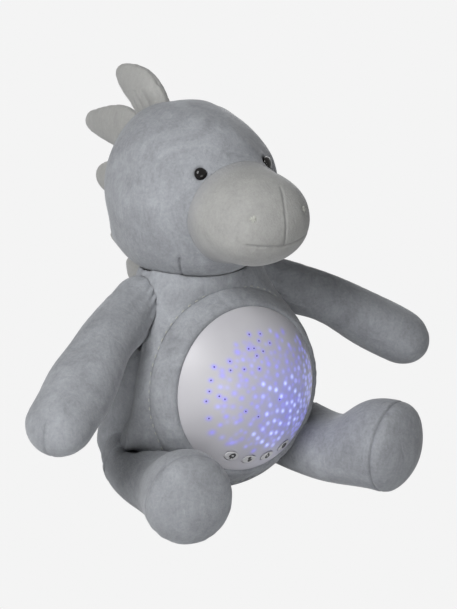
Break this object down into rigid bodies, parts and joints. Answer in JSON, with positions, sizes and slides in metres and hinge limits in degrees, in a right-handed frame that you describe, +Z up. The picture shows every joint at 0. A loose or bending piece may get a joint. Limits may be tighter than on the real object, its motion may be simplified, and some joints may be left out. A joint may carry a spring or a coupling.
{
  "type": "plush night light",
  "caption": "Seated stuffed plush dinosaur holding a round star projector lamp with push buttons in its belly, with a crest of soft spikes, jointed head, arms and legs, and a back flap.",
  "frame": {"origin": "middle of the seat, on the surface that the toy sits on", "axes": "+Z up, -Y out of the toy's belly and muzzle, +X towards the toy's own left"},
  "size_m": [0.2835, 0.2382, 0.2429],
  "materials": {
    "plush": "short soft pile",
    "pale_plush": "short soft pile",
    "loop_tape": "woven hook and loop tape",
    "eye_black": "polished",
    "dome_white": "satin, milky",
    "bezel_grey": "satin",
    "white_plastic": "satin",
    "reflector_white": "gloss",
    "board_green": "solder mask",
    "switch_black": "moulded",
    "led_clear": "clear epoxy",
    "cell_jacket": "printed sleeve without print",
    "nickel": "nickel plated",
    "steel": "zinc plated",
    "cone_paper": "pressed paper",
    "lead_red": "smooth insulation",
    "lead_black": "smooth insulation"
  },
  "bodies": {
    "torso": {"torso": "plush", "back_spike": "pale_plush", "tail_spike": "pale_plush", "tail": "plush", "torso_loop_strip": "loop_tape", "dome_lens": "dome_white", "bezel_ring": "bezel_grey", "inner_deck": "white_plastic", "housing_screw_1": "steel", "housing_screw_2": "steel", "housing_screw_3": "steel", "housing_screw_4": "steel", "reflector": "reflector_white", "rear_housing": "white_plastic", "battery_door": "white_plastic", "door_screw": "steel", "battery_1": "cell_jacket", "battery_2": "cell_jacket", "battery_3": "cell_jacket", "battery_contact_1": "nickel", "battery_contact_2": "nickel", "battery_contact_3": "nickel", "battery_contact_4": "nickel", "control_board": "board_green", "led_1": "led_clear", "led_2": "led_clear", "led_3": "led_clear", "tact_switch_1": "switch_black", "tact_switch_2": "switch_black", "tact_switch_3": "switch_black", "tact_switch_4": "switch_black", "speaker_basket": "steel", "speaker_cone": "cone_paper", "speaker_magnet": "steel", "battery_lead_1": "lead_red", "battery_lead_2": "lead_black", "speaker_lead": "lead_black"},
    "head": {"head": "plush", "muzzle": "pale_plush", "head_spike_1": "pale_plush", "head_spike_2": "pale_plush", "head_spike_3": "pale_plush", "head_spike_4": "pale_plush", "eye_left": "eye_black", "eye_right": "eye_black", "eye_washer_left": "white_plastic", "eye_washer_right": "white_plastic"},
    "arm_left": {"arm_left": "plush"},
    "arm_right": {"arm_right": "plush"},
    "leg_left": {"leg_left": "plush", "sole_left": "plush"},
    "leg_right": {"leg_right": "plush", "sole_right": "plush"},
    "rear_flap": {"rear_flap": "plush", "flap_hook_strip": "loop_tape"},
    "button_1": {"button_1": "white_plastic"},
    "button_2": {"button_2": "white_plastic"},
    "button_3": {"button_3": "white_plastic"},
    "button_4": {"button_4": "white_plastic"}
  },
  "joints": [
    {"name": "head_nod", "type": "hinge", "parent": "torso", "child": "head", "pos_m": [0, 0.0125, 0.176], "axis": [1, 0, 0], "range_deg": [-3, 10], "stiffness_Nm_per_rad": 1.5},
    {"name": "arm_left_lift", "type": "hinge", "parent": "torso", "child": "arm_left", "pos_m": [0.042, 0.006, 0.116], "axis": [0, -1, 0], "range_deg": [-10, 30], "stiffness_Nm_per_rad": 0.5},
    {"name": "arm_right_lift", "type": "hinge", "parent": "torso", "child": "arm_right", "pos_m": [-0.042, 0.006, 0.116], "axis": [0, 1, 0], "range_deg": [-10, 30], "stiffness_Nm_per_rad": 0.5},
    {"name": "leg_left_splay", "type": "hinge", "parent": "torso", "child": "leg_left", "pos_m": [0.043, 0.002, 0.0215], "axis": [0, 0, 1], "range_deg": [0, 20], "stiffness_Nm_per_rad": 0.5},
    {"name": "leg_right_splay", "type": "hinge", "parent": "torso", "child": "leg_right", "pos_m": [-0.043, 0.002, 0.0215], "axis": [0, 0, -1], "range_deg": [0, 20], "stiffness_Nm_per_rad": 0.5},
    {"name": "flap_lift", "type": "hinge", "parent": "torso", "child": "rear_flap", "pos_m": [0, 0.0518, 0.092], "axis": [1, 0, 0], "range_deg": [0, 60]},
    {"name": "button_1_press", "type": "slide", "parent": "torso", "child": "button_1", "axis": [0, 0.9903, -0.1392], "range_m": [0, 0.0006], "stiffness_N_per_m": 1200},
    {"name": "button_2_press", "type": "slide", "parent": "torso", "child": "button_2", "axis": [0, 0.9903, -0.1392], "range_m": [0, 0.0006], "stiffness_N_per_m": 1200},
    {"name": "button_3_press", "type": "slide", "parent": "torso", "child": "button_3", "axis": [0, 0.9903, -0.1392], "range_m": [0, 0.0006], "stiffness_N_per_m": 1200},
    {"name": "button_4_press", "type": "slide", "parent": "torso", "child": "button_4", "axis": [0, 0.9903, -0.1392], "range_m": [0, 0.0006], "stiffness_N_per_m": 1200}
  ]
}
